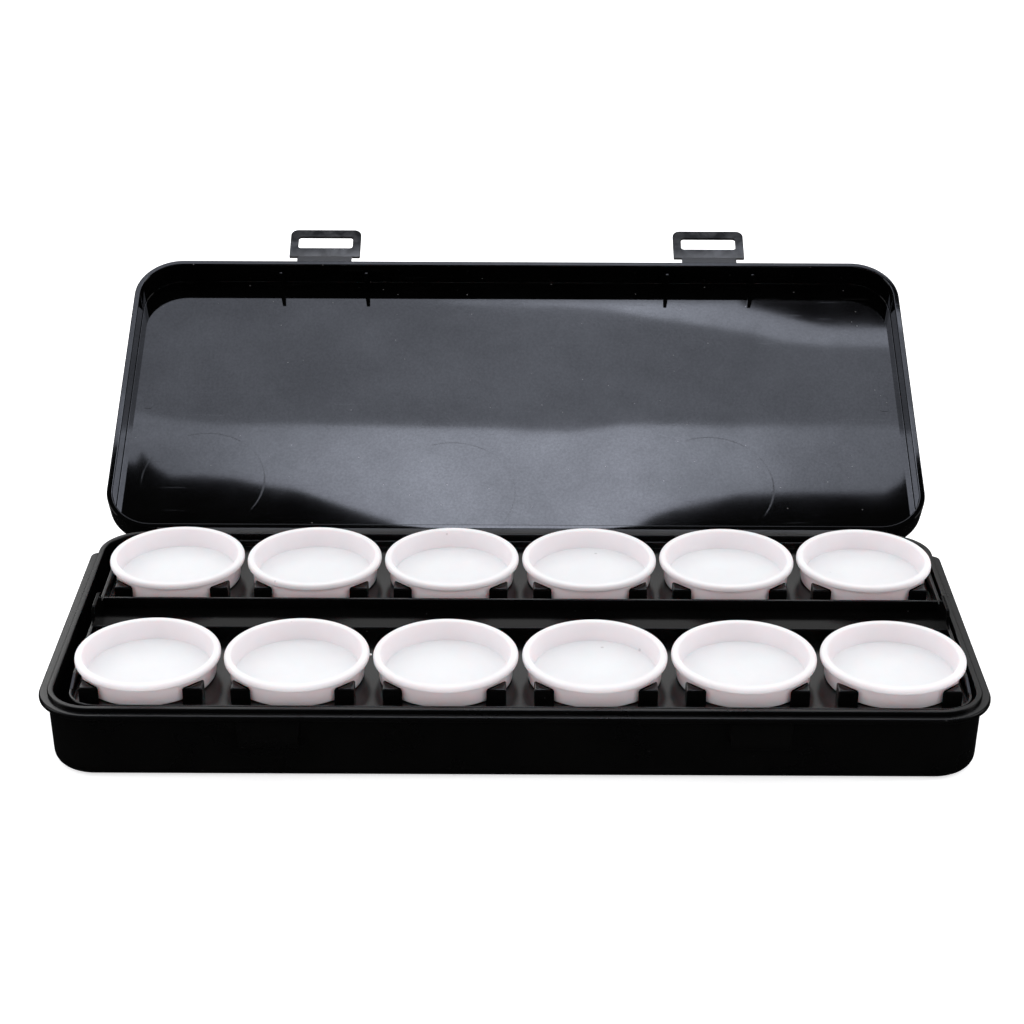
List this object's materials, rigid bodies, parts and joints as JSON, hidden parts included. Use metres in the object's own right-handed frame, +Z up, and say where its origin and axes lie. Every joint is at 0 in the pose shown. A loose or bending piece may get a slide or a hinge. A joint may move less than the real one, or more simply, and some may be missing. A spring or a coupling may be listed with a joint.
{
  "type": "paint palette box",
  "caption": "Flat black moulded case with a film-hinged lid, slotted latch tabs and a lift-out tray that holds round white paint cups on both sides of a brush channel.",
  "frame": {"origin": "centre of the base's flat underside", "axes": "+X along the case's length, +Y from the latch side to the hinge side, +Z up"},
  "size_m": [0.2452, 0.2186, 0.077],
  "materials": {
    "case_black": "semi-matte moulded polypropylene",
    "lid_black": "glossy moulded polypropylene",
    "latch_black": "semi-matte moulded polypropylene",
    "film_black": "thinned web of the moulding",
    "tray_black": "glossy moulded styrene",
    "cup_white": "glossy moulded plastic"
  },
  "bodies": {
    "base": {"base": "case_black", "lid_hinge_film": "film_black"},
    "lid": {"lid": "lid_black", "latch_left_film": "film_black", "latch_right_film": "film_black"},
    "latch_left": {"latch_left": "latch_black"},
    "latch_right": {"latch_right": "latch_black"},
    "tray": {"insert_tray": "tray_black"},
    "cup_front_1": {"cup_front_1": "cup_white"},
    "cup_front_2": {"cup_front_2": "cup_white"},
    "cup_front_3": {"cup_front_3": "cup_white"},
    "cup_front_4": {"cup_front_4": "cup_white"},
    "cup_front_5": {"cup_front_5": "cup_white"},
    "cup_front_6": {"cup_front_6": "cup_white"},
    "cup_rear_1": {"cup_rear_1": "cup_white"},
    "cup_rear_2": {"cup_rear_2": "cup_white"},
    "cup_rear_3": {"cup_rear_3": "cup_white"},
    "cup_rear_4": {"cup_rear_4": "cup_white"},
    "cup_rear_5": {"cup_rear_5": "cup_white"},
    "cup_rear_6": {"cup_rear_6": "cup_white"}
  },
  "joints": [
    {"name": "lid_hinge", "type": "hinge", "parent": "base", "child": "lid", "pos_m": [0, 0.05485, 0.01985], "axis": [-1, 0, 0], "range_deg": [-152.2, 27.8]},
    {"name": "latch_left_hinge", "type": "hinge", "parent": "lid", "child": "latch_left", "pos_m": [-0.0625, 0.15223, 0.0708], "axis": [-1, 0, 0], "range_deg": [-100, 60]},
    {"name": "latch_right_hinge", "type": "hinge", "parent": "lid", "child": "latch_right", "pos_m": [0.0625, 0.15223, 0.0708], "axis": [-1, 0, 0], "range_deg": [-100, 60]},
    {"name": "tray_lift", "type": "slide", "parent": "base", "child": "tray", "axis": [0, 0, 1], "range_m": [0, 0.03]},
    {"name": "cup_front_1_lift", "type": "slide", "parent": "tray", "child": "cup_front_1", "axis": [0, 0, 1], "range_m": [0, 0.015]},
    {"name": "cup_front_2_lift", "type": "slide", "parent": "tray", "child": "cup_front_2", "axis": [0, 0, 1], "range_m": [0, 0.015]},
    {"name": "cup_front_3_lift", "type": "slide", "parent": "tray", "child": "cup_front_3", "axis": [0, 0, 1], "range_m": [0, 0.015]},
    {"name": "cup_front_4_lift", "type": "slide", "parent": "tray", "child": "cup_front_4", "axis": [0, 0, 1], "range_m": [0, 0.015]},
    {"name": "cup_front_5_lift", "type": "slide", "parent": "tray", "child": "cup_front_5", "axis": [0, 0, 1], "range_m": [0, 0.015]},
    {"name": "cup_front_6_lift", "type": "slide", "parent": "tray", "child": "cup_front_6", "axis": [0, 0, 1], "range_m": [0, 0.015]},
    {"name": "cup_rear_1_lift", "type": "slide", "parent": "tray", "child": "cup_rear_1", "axis": [0, 0, 1], "range_m": [0, 0.015]},
    {"name": "cup_rear_2_lift", "type": "slide", "parent": "tray", "child": "cup_rear_2", "axis": [0, 0, 1], "range_m": [0, 0.015]},
    {"name": "cup_rear_3_lift", "type": "slide", "parent": "tray", "child": "cup_rear_3", "axis": [0, 0, 1], "range_m": [0, 0.015]},
    {"name": "cup_rear_4_lift", "type": "slide", "parent": "tray", "child": "cup_rear_4", "axis": [0, 0, 1], "range_m": [0, 0.015]},
    {"name": "cup_rear_5_lift", "type": "slide", "parent": "tray", "child": "cup_rear_5", "axis": [0, 0, 1], "range_m": [0, 0.015]},
    {"name": "cup_rear_6_lift", "type": "slide", "parent": "tray", "child": "cup_rear_6", "axis": [0, 0, 1], "range_m": [0, 0.015]}
  ]
}
